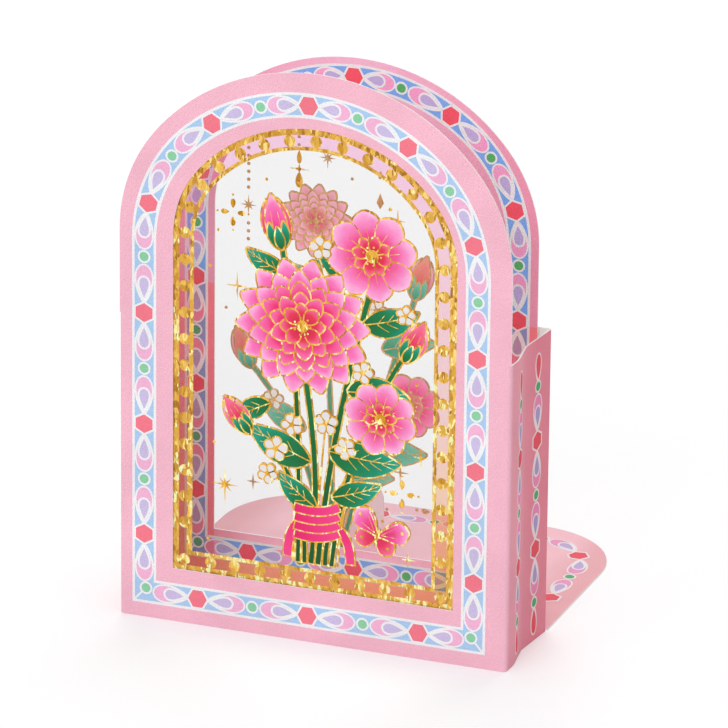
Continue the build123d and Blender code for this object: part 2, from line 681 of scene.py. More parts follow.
frontBorder = {
    "shape": {
        "middle": -1.8, "half": 51.1, "bottom": 8.1, "spring": 117.1, "shoulder": 43.8, "turn": 49.8,
    },
    "scale": 1.0,
    "bandHalf": 3.75,
    "blueHalf": 2.95,
    "archStops": [0, 14.9, 31.5, 48.4, 65.5, 82.2],
    "slip": 0.75,  # the print sits this far to the left at the top
    "rowStops": [0, 17.15, 34.3],
    "cornerDot": (50.55, 9.1),
    "cornerGap": 0.3,  # from the corner's white line to the band's outer edge
    "stations": 12,  # down each side, the corner's among them
}
backBorder = {
    "shape": {
        "middle": -0.35, "half": 49.85, "bottom": 10.67, "spring": 117.1, "shoulder": 42.7, "turn": 49.8,
    },
    "scale": 0.975,
    "bandHalf": 3.66,
    "blueHalf": 2.88,
    "archStops": [0, 14.5, 30.8, 47.2, 63.8, 80.1],
    "slip": 1.3,
    "rowStops": [0, 16.7, 33.4],
    "cornerDot": (49.2, 11.7),
    "cornerGap": 0.3,
    "stations": 12,
}
frontInk = {
    "white": (249, 248, 250),
    "blue": (178, 210, 246),
    "pink": (251, 186, 221),
    "red": (250, 125, 143),
    "green": (146, 214, 172),
    "lavender": (211, 197, 235),
}
# the back panel's inks are written darker and more saturated than the front's: painted shade on the back
# panel
backInk = {
    "white": (240, 232, 236),
    "blue": (130, 170, 240),
    "pink": (250, 160, 205),
    "red": (248, 84, 104),
    "green": (90, 175, 105),
    "lavender": (195, 172, 222),
}
# deeper still, as painted shade where a glue tab lies behind the back panel
backInkShaded = {
    "white": (252, 224, 226),
    "blue": (152, 150, 200),
    "pink": (252, 130, 158),
    "red": (250, 80, 96),
    "green": (100, 160, 115),
    "lavender": (200, 150, 184),
}


def sideStops(border, side):
    # the arch's own stops, then even ones down to the corner dot
    scale = border["scale"]
    arch = border["archStops"]
    stops = []
    for stop in arch:
        stops.append(stop - side * border["slip"] * max(0.0, 1 - stop / arch[-1]))
    while len(stops) < border["stations"]:
        stops.append(stops[-1] + motif["pitch"] * scale)
    return stops


def addCorner(well, border, side):
    # the corner's dot, and the white line that runs from it to the outer corner
    shape, scale = border["shape"], border["scale"]
    spot = (shape["middle"] + side * border["cornerDot"][0], border["cornerDot"][1])
    addDot(well, spot, scale)
    reach = border["bandHalf"] - border["cornerGap"]
    corner = (shape["middle"] + side * (shape["half"] + reach), shape["bottom"] - reach)
    du, dv = corner[0] - spot[0], corner[1] - spot[1]
    length = hypot(du, dv)
    wide = motif["whiteLine"] * scale / 2
    nu, nv = -dv / length * wide, du / length * wide
    ends = [(spot[0] + nu, spot[1] + nv), (corner[0] + nu, corner[1] + nv)]
    ends += [(corner[0] - nu, corner[1] - nv), (spot[0] - nu, spot[1] - nv)]
    well["line"].append(ends)


def printBorder(name, canvas, border, inks):
    shape, scale = border["shape"], border["scale"]
    for layer, half in (("band", border["bandHalf"]), ("ground", border["blueHalf"])):
        ink, height = inkLayers[layer]
        ring = (archOutline(shape, half), archOutline(shape, -half))
        printRings(name + "_" + layer, canvas, [ring], height, inks[ink])
    well = newInkwell()
    for side in (1, -1):
        path = archSide(shape, side)
        stops = sideStops(border, side)
        # the last stop is the corner's, which has a dot of its own
        addStations(well, path, stops[:-1], scale, True, side < 0)
        addDrop(well, path, stops[-2], stops[-1], scale)
        row = straightPath((0, shape["bottom"]), (shape["half"], shape["bottom"]), shape["middle"], side)
        addStations(well, row, border["rowStops"], scale, True, side < 0)
        addDrop(well, row, border["rowStops"][-1], border["cornerDot"][0], scale)
        addCorner(well, border, side)
    printWell(name, canvas, well, inks)


frontCanvas = makeCanvas((printSlip, frontFace, 0))
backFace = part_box("back_panel")[0].y / mm
backCanvas = makeCanvas((printSlip, backFace, 0))
frontInks = inkSet("frontInk", frontInk)
backInks = inkSet("backInk", backInk, backInkShaded)
printBorder("front_border", frontCanvas, frontBorder, frontInks)
printBorder("back_border", backCanvas, backBorder, backInks)
print("borders printed")

# Chains on the gussets and the tail

gusset = {
    # each strip's front and rear corner, x and depth on the right, and the chain's middle from the first
    "front": ((60.3, 6.0), (58.5, 17.4), 3.9),
    "rear": ((58.5, 17.4), (60.2, 34.4), 8.1),
    "firstDot": 12.1,
    "pitch": 16.72,
    "stations": 5,
    "height": 200,  # well past the gusset's top
    "scale": 0.975,
}
tailChain = {
    "row": 101.3,  # depth of the far row behind the front face
    "side": 52.5,
    "corner": 20.0,
    "pitch": 17.5,
    "stations": ((1, 6), (-1, 3)),  # to the right and to the left of the middle
    "scale": 1.0,
}


def printGussetChain(name, side, front, back, middle):
    start = Vector((side * front[0], frontFace + front[1], 0))
    end = Vector((side * back[0], frontFace + back[1], 0))
    # seen from outside, the right gusset runs back to the right and the left one to the left
    forward = (end - start).normalized()
    canvas = makeCanvas(start + forward * middle, forward if side > 0 else -forward)
    scale = gusset["scale"]
    path = straightPath((0, 0), (0, gusset["height"]))
    well = newInkwell()
    stops = [gusset["firstDot"] + gusset["pitch"] * i for i in range(gusset["stations"])]
    addStations(well, path, stops, scale, False)
    addSpark(well, path, stops[0], scale, -1)
    addSpark(well, path, stops[-1], scale, 1)
    printWell(name, canvas, well, gussetInks)


def printTailChain():
    canvas = makeCanvas((printSlip, frontFace, paper["board"]), up=(0, 1, 0))
    row, side, corner = tailChain["row"], tailChain["side"], tailChain["corner"]
    runs = [
        ("line", (0, row), (side - corner, row)),
        ("arc", (side - corner, row - corner), corner, pi / 2, 0.0),
        ("line", (side, row - corner), (side, 0)),
    ]
    well = newInkwell()
    for hand, count in tailChain["stations"]:
        path = {"middle": 0.0, "side": hand, "runs": runs}
        stops = [tailChain["pitch"] * i for i in range(count)]
        addStations(well, path, stops, tailChain["scale"], False, hand < 0)
    printWell("tail_chain", canvas, well, tailInks)


# the gussets' chain inks are written darker than the front's: painted shade on the side faces
gussetInk = {
    "white": (240, 225, 225),
    "pink": (240, 140, 185),
    "red": (235, 80, 95),
    "green": (70, 170, 110),
    "lavender": (175, 155, 205),
}
tailInk = {
    "white": (250, 244, 244),
    "pink": (247, 165, 205),
    "red": (245, 95, 110),
    "green": (95, 180, 120),
    "lavender": (205, 185, 228),
}
gussetInks = inkSet("gussetInk", gussetInk)
tailInks = inkSet("tailInk", tailInk)
for side, hand in ((1, "right"), (-1, "left")):
    for strip in ("front", "rear"):
        printGussetChain(hand + "_" + strip + "_chain", side, *gusset[strip])
printTailChain()
print("chains printed")

# Foil and inks on the films

foil = {
    "shards": (1.1, 2.2, 32),  # width and length in mm of the foil's shards, and their turn in degrees
    "splinters": (0.6, 1.9, -48),  # and of the splinters across them
    "splinterShare": 0.25,
    "toneShare": 0.93,  # how much of the tones' range the shards take by chance
    "tilt": 0.3,
    "roughness": 0.32,
    "patch": (9.0, 0.5),  # how far apart the painted highlight patches lie, in mm, and how bright they are
    "heights": (20, 135),  # from one height to the other the foil grows smoother and less bright, a painted reflection that is brightest at the foot
    "shifts": (0.12, -0.05),
    "grain": 2600.0,
    "grainSpan": (0.78, 1.2),
    "lift": 0.05,
    "sparkleLift": 0.03,
}
glaze = {
    "roughness": 0.4,
    "specular": 0.3,
    "mottle": (260.0, 3.0, 0.35),  # scale, detail and strength
    "rim": (2.0, 0.14),  # how sharply and how far the tones shift towards a petal's rim
    "speckle": 0.05,
}
# the gold's own colour, together with painted glints and dark reflections that the shards take by chance
goldAndGlintTones = [
    (0.0, (176, 118, 20)),
    (0.08, (208, 150, 42)),
    (0.30, (228, 174, 66)),
    (0.60, (242, 194, 88)),
    (0.78, (254, 222, 130)),
    (0.88, (255, 252, 180)),
    (0.97, (244, 250, 190)),
]
# the same foil written duller and darker for the rear film: painted shade inside the box and behind the
# front film
shadedGoldTones = [
    (0.0, (196, 146, 92)),
    (0.30, (212, 162, 104)),
    (0.75, (222, 176, 118)),
    (0.93, (238, 204, 150)),
]


def crushedCells(tree, position, size):
    # straight-edged cells, longer than they are wide, each with a colour of its own
    width, length, turn = size
    laid = addNode(tree, "ShaderNodeMapping", {"Vector": position, "Rotation": (0.0, radians(turn), 0.0)})
    laid.inputs["Scale"].default_value = (1 / (width * mm), 1 / (width * mm), 1 / (length * mm))
    cells = addNode(tree, "ShaderNodeTexVoronoi", {"Vector": laid.outputs[0], "Scale": 1.0})
    return cells.outputs["Color"]


def firstChannel(tree, color):
    return addNode(tree, "ShaderNodeSeparateColor", {"Color": color}).outputs[0]


def foilMaterial(name, tones, metal):
    # crumpled foil: shards that each catch the light their own way through a tilted normal and through
    # painted glints in their colour, with painted highlights in some patches and towards the foot
    material, tree, shader = newMaterial(name, Metallic=metal, Roughness=foil["roughness"])
    position = coordinates(tree)
    shards, splinters = (crushedCells(tree, position, foil[size]) for size in ("shards", "splinters"))
    chip = calc(tree, "MULTIPLY", firstChannel(tree, splinters), foil["splinterShare"])
    mixed = calc(tree, "FRACT", calc(tree, "ADD", firstChannel(tree, shards), chip))
    apart, brighter = foil["patch"]
    low, high = foil["heights"]
    lowGlint = remap(tree, axes(tree, position)[2], low * mm, high * mm, *foil["shifts"])
    lift = calc(tree, "ADD", wander(tree, position, 1 / (apart * mm), 1.0, brighter), lowGlint)
    chosen = calc(tree, "ADD", calc(tree, "MULTIPLY", mixed, foil["toneShare"]), lift, clamp=True)
    grain = remap(tree, noise(tree, position, foil["grain"]), 0.0, 1.0, *foil["grainSpan"])
    color = calcVector(tree, "SCALE", addRamp(tree, tones, chosen, steps=True), grain)
    feed(tree, shader.inputs["Base Color"], color)
    leaning = calcVector(tree, "SCALE", calcVector(tree, "SUBTRACT", shards, (0.5, 0.5, 0.5)), foil["tilt"])
    facing = addNode(tree, "ShaderNodeNewGeometry").outputs["Normal"]
    normal = calcVector(tree, "NORMALIZE", calcVector(tree, "ADD", facing, leaning))
    feed(tree, shader.inputs["Normal"], normal)
    return material


def petalShare(tree, name):
    # how far along or across its petal a point lies
    return addNode(tree, "ShaderNodeAttribute", attribute_name=name).outputs["Fac"]


def glazeMaterial(name, stops):
    # a glossy ink that runs through the stops from a petal's foot to its tip
    looks = {"Roughness": glaze["roughness"], "Specular_IOR_Level": glaze["specular"]}
    material, tree, shader = newMaterial(name, **looks)
    position = coordinates(tree)
    power, shift = glaze["rim"]
    rim = calc(tree, "POWER", sizeOf(tree, petalShare(tree, "across")), power)
    rim = calc(tree, "MULTIPLY", rim, shift)
    place = calc(tree, "ADD", petalShare(tree, "along"), wander(tree, position, *glaze["mottle"]))
    color = addRamp(tree, stops, calc(tree, "ADD", place, rim, clamp=True))
    feed(tree, shader.inputs["Base Color"], speckled(tree, position, color, glaze["speckle"]))
    return material


# Clear film: both sheets stand a hair off the card that they are glued to

films = {
    "gap": 0.01,
    "grey": (0.25, 0.25, 0.26, 1),
    "roughness": 0.06,
    "waves": (25.0, 0.2),  # their scale, and their depth in mm
    "front_film": {"half": 55, "bottom": 5, "spring": 119.5, "shoulder": 43, "turn": 39.2, "haze": 0.03},
    "back_film": {"half": 54, "bottom": 2.5, "spring": 118.4, "shoulder": 42, "turn": 39.2, "haze": 0.07},
}


def filmMaterial(name, haze):
    # clear film with a faint grey haze and a gloss
    looks = {"Base_Color": films["grey"], "Roughness": films["roughness"], "Alpha": haze}
    material, tree, shader = newMaterial(name, **looks)
    scale, depth = films["waves"]
    addBump(tree, shader, noise(tree, coordinates(tree), scale), depth)
    return material


def letLightThrough(pieces):
    # clear film, and thin inks on it, keep no light from what lies behind them
    for piece in pieces:
        piece.visible_shadow = False
        piece.visible_diffuse = False


def makeFilmSheet(node, setup):
    front, back = (corner.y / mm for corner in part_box(node))
    outline = archOutline({"middle": 0, **setup}, 0)
    material = filmMaterial(node + "Clear", setup["haze"])
    gap = films["gap"]
    canvas = makeCanvas((0, front, 0))
    sheet = printShapes("clear_" + node, canvas, [outline], -gap, material, base=gap - (back - front))
    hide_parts(node)
    letLightThrough([sheet])
    return makeCanvas((printSlip, front, 0)), makeCanvas((printSlip, back, 0), behind=True)


frontFilmCanvas, frontFilmRear = makeFilmSheet("front_film", films["front_film"])
backFilmCanvas, backFilmRear = makeFilmSheet("back_film", films["back_film"])
print("clear films made")

gold = foilMaterial("crushedGold", goldAndGlintTones, 0.85)
# the rear film's foil is the gold in painted shade
dullGold = foilMaterial("dullGold", shadedGoldTones, 0.2)

# Beaded foil frame around the front window

filmFrame = {
    "shape": {
        "middle": -0.8, "half": 43.1, "bottom": 16.3, "spring": 119.5, "shoulder": 31.1, "turn": 39.2,
    },
    "outside": 1.2,  # how far the foil runs under the card
    "outerLine": -1.65,
    "tintBand": -5.1,
    "innerLine": -6.25,
    "cornerSlip": {"tintBand": 1.1, "innerLine": 0.5},  # these lines lean out at the lower left corner
    "tints": [  # from the foot up
        (0.0, (255, 234.9, 190.8)), (0.42, (255, 237.4, 234.9)), (1.0, (255, 233.7, 248.2)),
    ],
    "tintTop": 150,
    "tintWander": (120.0, 1.0, 0.25),  # scale, detail and strength
    "tintBody": {"Base_Color": (0.9, 0.55, 0.6, 1), "Roughness": 0.1},
    "tintGloss": 0.06,
    "tintHeights": (0.025, 0.01),  # from the film's face, top and foot
    "beadHeights": (0.065, -0.005),
    "beadRadius": 1.76,
    "beadLine": -3.4,
    "beadPitch": 8.1,
    "beadCount": 19,  # down each side, from the top
    "beadShift": 0.35,
    "footBeads": [-32.3, -24.8, -16.9, -8.9, -1.3, 6.4, 14.1, 21.8, 29.5],
}


def clearTint(name, setup):
    # a see-through ink whose tint changes with height; light crosses its two faces
    material, tree, shader = newMaterial(name, **setup["tintBody"])
    position = coordinates(tree)
    share = remap(tree, axes(tree, position)[2], setup["shape"]["bottom"] * mm, setup["tintTop"] * mm)
    share = calc(tree, "ADD", share, wander(tree, position, *setup["tintWander"]), clamp=True)
    clear = addNode(tree, "ShaderNodeBsdfTransparent", {"Color": addRamp(tree, setup["tints"], share)})
    inputs = {0: setup["tintGloss"], 1: clear.outputs[0], 2: shader.outputs[0]}
    mix = addNode(tree, "ShaderNodeMixShader", inputs)
    feed(tree, tree.nodes["Material Output"].inputs["Surface"], mix.outputs[0])
    return material


def printFilmFrame(setup):
    shape, line, slot = setup["shape"], setup["beadLine"], "front_window_film"
    edges = []
    for key in ("outside", "outerLine", "tintBand", "innerLine"):
        edge = archOutline(shape, setup[key])
        edge[0] = (edge[0][0] - setup["cornerSlip"].get(key, 0), edge[0][1])
        edges.append(edge)
    rings = [(edges[0], edges[1]), (edges[2], edges[3])]
    printRings("foil_frame", frontFilmRear, rings, foil["lift"], gold)
    tintRing = [(edges[1], edges[2])]
    top, base = setup["tintHeights"]
    pinkInk = clearTint("frameTint", setup)
    letLightThrough([printRings("tint_band", frontFilmRear, tintRing, top, pinkInk, base)])
    row = shape["bottom"] - line
    spots = [(u, row) for u in setup["footBeads"]]
    for side in (1, -1):
        path = archSide(shape, side, line)
        first = 0 if side > 0 else 1  # both sides share the top bead
        for step in range(first, setup["beadCount"]):
            spots.append(alongPath(path, step * setup["beadPitch"] + side * setup["beadShift"], 0))
        spots.append((shape["middle"] + side * (shape["half"] + line), row))
    beads = [disc(setup["beadRadius"], center=spot) for spot in spots]
    top, base = setup["beadHeights"]
    printShapes("foil_beads", frontFilmRear, beads, top, gold, base)


printFilmFrame(filmFrame)
print("foil frame printed")

# Petals, leaves and stems: each is a blade with a foot, a length and a curve

outlineWidth = 0.4  # of the foil around each petal, leaf and stem
veinWidth = 0.13  # half the width of the finest foil lines
budVeinWidth = 0.14
bladeEnd = 0.004  # a blade's width is read this far inside its ends


def blade(at, angle, length, width, fullest=0.6, fullness=0.8, bend=0.0):
    shape = {"at": at, "angle": angle, "length": length, "width": width}
    return {**shape, "fullest": fullest, "fullness": fullness, "bend": bend}


def bladePoint(shape, forward, sideways):
    # a point of a blade on its sheet; the middle line is an arc
    heading = radians(shape["angle"])
    turn = radians(shape["bend"]) / shape["length"]
    if abs(turn) > 1e-6:
        ahead, aside = sin(turn * forward) / turn, (1 - cos(turn * forward)) / turn
    else:
        ahead, aside = forward, 0.0
    ahead -= sideways * sin(turn * forward)
    aside += sideways * cos(turn * forward)
    u = shape["at"][0] + ahead * cos(heading) - aside * sin(heading)
    v = shape["at"][1] + ahead * sin(heading) + aside * cos(heading)
    return (u, v)


def bladeRows(shape, grow, rows=12):
    # left, middle and right points from foot to tip, with how far along each row lies
    power = log(0.5) / log(shape["fullest"])
    result = []
    for i in range(rows + 1):
        share = (1 - cos(pi * i / rows)) / 2
        inside = min(max(share, bladeEnd), 1 - bladeEnd)
        half = shape["width"] / 2 * sin(pi * inside ** power) ** shape["fullness"] + grow
        forward = -grow + share * (shape["length"] + 2 * grow)
        line = [bladePoint(shape, forward, half * sign) for sign in (1, 0, -1)]
        result.append((line, share))
    return result


def stripRows(points, halfWidth, taper=0.0, longer=0.0):
    # the same kind of rows, along a line of points, and a little longer at both ends
    result = []
    last = len(points) - 1
    points = list(points)
    for end, inner in ((0, 1), (last, last - 1)):
        du, dv = points[end][0] - points[inner][0], points[end][1] - points[inner][1]
        share = longer / hypot(du, dv)
        points[end] = (points[end][0] + du * share, points[end][1] + dv * share)
    for i, (u, v) in enumerate(points):
        u0, v0 = points[max(i - 1, 0)]
        u1, v1 = points[min(i + 1, last)]
        length = hypot(u1 - u0, v1 - v0)
        nu, nv = -(v1 - v0) / length, (u1 - u0) / length
        half = halfWidth * (1 - taper * i / last)
        result.append(([(u + nu * half, v + nv * half), (u, v), (u - nu * half, v - nv * half)], i / last))
    return result


def printRows(name, canvas, bundles, material, base=0.0):
    # bundles of rows, each at its own height, as one piece with petal coordinates
    verts, faces, alongs, acrosses = [], [], [], []
    for rows, lift in bundles:
        start = len(verts)
        for line, share in rows:
            for height in (base, lift):
                verts += [onCanvas(canvas, u, v, height) for u, v in line]
                alongs += [share] * 3
                acrosses += [1.0, 0.0, -1.0]
        for i in range(len(rows) - 1):
            low, high = start + 6 * i, start + 6 * i + 3
            low2, high2 = low + 6, high + 6
            for k in (0, 1):
                faces.append((high + k, high + k + 1, high2 + k + 1, high2 + k))
                faces.append((low + k, low2 + k, low2 + k + 1, low + k + 1))
            faces.append((low, high, high2, low2))
            faces.append((low + 2, low2 + 2, high2 + 2, high + 2))
        first, last = start, start + 6 * (len(rows) - 1)
        for k in (0, 1):
            faces.append((first + k, first + k + 1, first + 4 + k, first + 3 + k))
            faces.append((last + k, last + 3 + k, last + 4 + k, last + 1 + k))
    piece = makePiece(name, canvas, verts, faces, material)
    for key, values in (("along", alongs), ("across", acrosses)):
        attribute = piece.data.attributes.new(key, "FLOAT", "POINT")
        attribute.data.foreach_set("value", values)
    return piece


def curvePoints(start, pull, end, steps=14):
    # a quadratic curve from start to end, drawn towards pull
    points = []
    for i in range(steps + 1):
        t = i / steps
        a, b, c = (1 - t) ** 2, 2 * t * (1 - t), t * t
        points.append(tuple(a * start[k] + b * pull[k] + c * end[k] for k in (0, 1)))
    return points


# A spray is what one film carries: layers of outlined blades, stems, gold lines and dots


def newSpray():
    return {"blades": {}, "stems": {}, "lines": [], "dots": [], "bodies": [], "top": 0}


layerStep = 0.0055


def addBlades(spray, ink, shapes):
    # neighbours take turns between two levels, so that each overlaps the next
    level = spray["top"]
    for index, shape in enumerate(shapes):
        shape["level"] = level + 2 * (index % 2)
        spray["blades"].setdefault(ink, []).append(shape)
    spray["top"] = level + 2 * min(len(shapes), 2)


def addGroup(spray, makers):
    # things that don't overlap each other start from one level
    start = spray["top"]
    highest = start
    for maker, *details in makers:
        spray["top"] = start
        maker(spray, *details)
        highest = max(highest, spray["top"])
    spray["top"] = highest


def addStem(spray, start, pull, end, halfWidth, ink="stem"):
    stem = {"points": curvePoints(start, pull, end), "halfWidth": halfWidth, "level": spray["top"]}
    spray["stems"].setdefault(ink, []).append(stem)
    spray["top"] += 2


def addLine(spray, start, pull, end, halfWidth, taper, rise=1):
    spray["lines"].append((curvePoints(start, pull, end), halfWidth, taper, spray["top"] + rise))


def addSpot(spray, at, radius):
    spray["dots"].append((at, radius, spray["top"]))


def addVein(spray, shape, unit, marks, halfWidth=veinWidth, taper=0.5, rise=1):
    # a gold line through two or three marks on a blade, each forward and sideways in units
    spots = [bladePoint(shape, forward * unit, sideways * unit) for forward, sideways in marks]
    addLine(spray, spots[0], *spots[-2:], halfWidth, taper, rise)


def bladeOf(at, angle, unit, form, bend=0.0):
    # form is length and width in units, then where the blade is fullest and how full
    length, width, fullest, fullness = form
    return blade(at, angle, length * unit, width * unit, fullest, fullness, bend)


def addRing(spray, ink, at, radius, count, sizes, turn, **form):
    # petals around a centre; sizes are each one's foot, length and width as shares of the radius
    foot, length, width = (radius * size for size in sizes)
    shapes = []
    for i in range(count):
        angle = turn + 360 * i / count
        spot = (at[0] + foot * cos(radians(angle)), at[1] + foot * sin(radians(angle)))
        shapes.append(blade(spot, angle, length, width, **form))
    addBlades(spray, ink, shapes)
    return shapes


dahliaRings = (
    # how many petals, the sizes of each, and which of the flower's inks
    (14, (0.30, 0.70, 0.36), 0),
    (14, (0.22, 0.60, 0.33), 0),
    (12, (0.16, 0.49, 0.29), 1),
    (10, (0.10, 0.39, 0.25), 1),
    (8, (0.05, 0.28, 0.20), 2),
)
petals = {  # foot, length and width as shares of the flower's radius, and the petal's form
    "dahliaForm": {"fullest": 0.55, "fullness": 0.75},
    "dahliaVein": ((0.12, 0), (0.55, 0)),
    "cosmos": (0.12, 0.88, 0.62),
    "cosmosForm": {"fullest": 0.68, "fullness": 0.62},
    "cosmosVeins": (-0.22, 0.0, 0.22),
    "cosmosHeart": (0.04, 0.40, 0.24),
    "blossom": (0.16, 0.82, 0.68),
    "blossomForm": {"fullest": 0.62, "fullness": 0.6},
}
eyes = {  # radius as a share of the flower's, and how many seeds lie round it
    "dahlia": (0.09, 7),
    "cosmos": (0.15, 9),
    "blossom": 0.24,
    "seedGap": 0.75,  # in mm, as the seeds' radius is
    "seed": 0.33,
}


def addDahlia(spray, at, radius, inks, turn=0.0):
    # rings of pointed petals that grow shorter towards the heart, the two outer ones with gold lines
    for index, (count, sizes, ink) in enumerate(dahliaRings):
        shift = turn + (index % 2) * 180 / count
        ring = addRing(spray, inks[ink], at, radius, count, sizes, shift, **petals["dahliaForm"])
        if index < 2:
            for petal in ring[::2]:
                addVein(spray, petal, petal["length"], petals["dahliaVein"], budVeinWidth)
    addSeeds(spray, at, radius, *eyes["dahlia"])


def addCosmos(spray, at, radius, inks, turn=0.0, count=8):
    # broad petals around a gold eye, with fine lines from the eye
    ring = addRing(spray, inks[0], at, radius, count, petals["cosmos"], turn, **petals["cosmosForm"])
    for petal in ring:
        for spread in petals["cosmosVeins"]:
            addVein(spray, petal, radius, ((0.1, spread * 0.25), (0.52 - abs(spread), spread * 0.75)))
    addRing(spray, inks[1], at, radius, count, petals["cosmosHeart"], turn + 180 / count)
    addSeeds(spray, at, radius, *eyes["cosmos"])


def addSeeds(spray, at, radius, share, count):
    # a gold eye with a ring of small dots
    addSpot(spray, at, radius * share)
    reach = radius * share + eyes["seedGap"]
    for i in range(count):
        angle = 2 * pi * i / count
        addSpot(spray, (at[0] + reach * cos(angle), at[1] + reach * sin(angle)), eyes["seed"])


def addBlossom(spray, at, radius, turn=0.0):
    # small white flower with a gold middle
    addRing(spray, "white", at, radius, 5, petals["blossom"], turn, **petals["blossomForm"])
    addSpot(spray, at, radius * eyes["blossom"])


tulip = {  # length and width as shares of the bud's length, then where each is fullest and how full
    "side": (0.92, 0.36, 0.5, 0.8),
    "sideLean": (17, -23.8),  # how far it leans from the bud's middle line, and bends back
    "front": (1.0, 0.39, 0.45, 0.85),
    "cup": (0.52, 0.17, 0.45, 0.9),
    "cupLean": (38, -46),
    "frontCup": (0.40, 0.17, 0.4, 0.9),
}


def addPair(spray, ink, at, angle, unit, form, leanAndBend):
    lean, bend = leanAndBend
    addBlades(spray, ink, [bladeOf(at, angle + lean * s, unit, form, bend * s) for s in (1, -1)])


def addTulip(spray, at, angle, length, inks):
    # closed bud: side petals, a front petal over them, and three green leaves at its foot
    addPair(spray, inks[1], at, angle, length, tulip["side"], tulip["sideLean"])
    front = bladeOf(at, angle, length, tulip["front"])
    addBlades(spray, inks[0], [front])
    for sign in (1, -1):
        addVein(spray, front, length, ((0, 0), (0.35, sign * 0.1), (0.7, sign * 0.06)), budVeinWidth)
    addPair(spray, "leaf", at, angle, length, tulip["cup"], tulip["cupLean"])
    addBlades(spray, "leaf", [bladeOf(at, angle, length, tulip["frontCup"])])


leaf = {
    "form": (1.0, 0.46, 0.42, 0.85),
    "midrib": ((0, 0), (0.5, 0), (0.96, 0)),
    "veins": 4,
    "veinPitch": 0.165,
    "veinReach": 0.16,
    "veinSpread": 0.1656,
}


def addLeaf(spray, at, angle, length, bend=0.0):
    # leaf with a gold midrib and side veins, which grow shorter towards its tip
    shape = bladeOf(at, angle, length, leaf["form"], bend)
    addBlades(spray, "leaf", [shape])
    addVein(spray, shape, length, leaf["midrib"], 0.2, rise=2)
    for i in range(1, leaf["veins"] + 1):
        root = 0.08 + leaf["veinPitch"] * i
        for sign in (1, -1):
            side = leaf["veinSpread"] * (1 - 0.15 * i) * sign
            marks = ((root, 0), (root + 0.07, side * 0.5), (root + leaf["veinReach"], side))
            addVein(spray, shape, length, marks, taper=0.3)


wrap = {
    "ends": ((1, 10.5), (-1, 9.0)),  # side, and how far from the middle the end hangs
    "endDrop": 11.5,
    "endWidth": 1.25,
    "pitch": 2.7,
    "width": 1.2,
}


def addWrap(spray, at, width, turns):
    # a ribbon wound round the stems, with its two ends hanging
    u, v = at
    for side, reach in wrap["ends"]:
        end = (u + side * reach, v - wrap["endDrop"])
        addStem(spray, (u + side * width * 0.3, v), (end[0], v - 2), end, wrap["endWidth"], "ribbon")
    for i in range(turns):
        row = v + wrap["pitch"] * (i - (turns - 1) / 2)
        left, right = (u - width / 2, row - 0.3), (u + width / 2, row + 1.5)
        addStem(spray, left, (u + 1.0, row - 1.9), right, wrap["width"], "ribbon")


butterfly = {
    # the form of the lower and the upper wing, its lean from the body and its bend
    "wings": (((0.42, 0.34, 0.62, 0.7), -122, 10), ((0.62, 0.42, 0.68, 0.7), -52, -14)),
    "veins": ((0.36, 0.0), (0.30, 0.10), (0.30, -0.10)),
    "feelerLean": (-16, -40),
    "feeler": ((0.1, 0), (0.28, 0), (0.48, 0)),
    "spots": ((0.5, 0.035), (0.3, 0.03)),  # on the upper and the lower wing: how far out, and radius
    "body": (-0.22, 0.37),  # where it starts, and its length
}


def addButterfly(spray, at, size, turn, inks):
    # two wings and a feeler to each side of a gold body
    upright = turn + 90
    for s in (1, -1):
        lower, upper = (
            bladeOf(at, upright + lean * s, size, form, bend * s) for form, lean, bend in butterfly["wings"]
        )
        addBlades(spray, inks[1], [lower])
        addBlades(spray, inks[0], [upper])
        for rise, (reach, across) in enumerate(butterfly["veins"]):
            marks = ((0.08, 0), (reach * 0.6, across * 0.3), (reach * 1.3, across))
            addVein(spray, upper, size, marks, rise=rise)
        lean, bend = butterfly["feelerLean"]
        feeler = blade(at, upright + lean * s, size * 0.5, 1, bend=bend * s)
        addVein(spray, feeler, size, butterfly["feeler"], budVeinWidth, 0)
        for wing, (reach, radius) in zip((upper, lower), butterfly["spots"]):
            addSpot(spray, bladePoint(wing, size * reach, 0), size * radius)
        addSpot(spray, bladePoint(feeler, size * 0.49, 0), 0.3)
    start, length = butterfly["body"]
    foot = bladePoint(blade(at, upright, size, 1), size * start, 0)
    body = blade(foot, upright, size * length, 1.3, 0.65)
    spray["bodies"].append({**body, "level": spray["top"]})


def stemRows(stem, grow):
    return stripRows(stem["points"], stem["halfWidth"] + grow, longer=grow)


def printSpray(name, canvas, spray, inks, outline):
    # every blade and stem lies on a wider one in foil, which shows as its outline
    goldBundles, pieces = [], []
    for kind, makeRows in (("stems", stemRows), ("blades", bladeRows)):
        for ink, shapes in spray[kind].items():
            bundles = []
            for shape in shapes:
                goldBundles.append((makeRows(shape, outlineWidth), (shape["level"] + 1) * layerStep))
                bundles.append((makeRows(shape, 0), (shape["level"] + 2) * layerStep))
            pieces.append(printRows(name + "_" + ink, canvas, bundles, inks[ink]))
    for points, halfWidth, taper, level in spray["lines"]:
        goldBundles.append((stripRows(points, halfWidth, taper), level * layerStep))
    for body in spray["bodies"]:
        goldBundles.append((bladeRows(body, 0), (body["level"] + 2) * layerStep))
    pieces.append(printRows(name + "_foil_lines", canvas, goldBundles, outline))
    dots = {}
    for at, radius, level in spray["dots"]:
        dots.setdefault(level, []).append(disc(radius, 16, at))
    for index, (level, outlines) in enumerate(sorted(dots.items())):
        lift = (level + 2.5) * layerStep
        pieces.append(printShapes(name + "_foil_dots_" + str(index), canvas, outlines, lift, outline))
    letLightThrough(pieces)


def petalInks(name, ramps):
    return {ink: glazeMaterial(name + ink.capitalize(), stops) for ink, stops in ramps.items()}


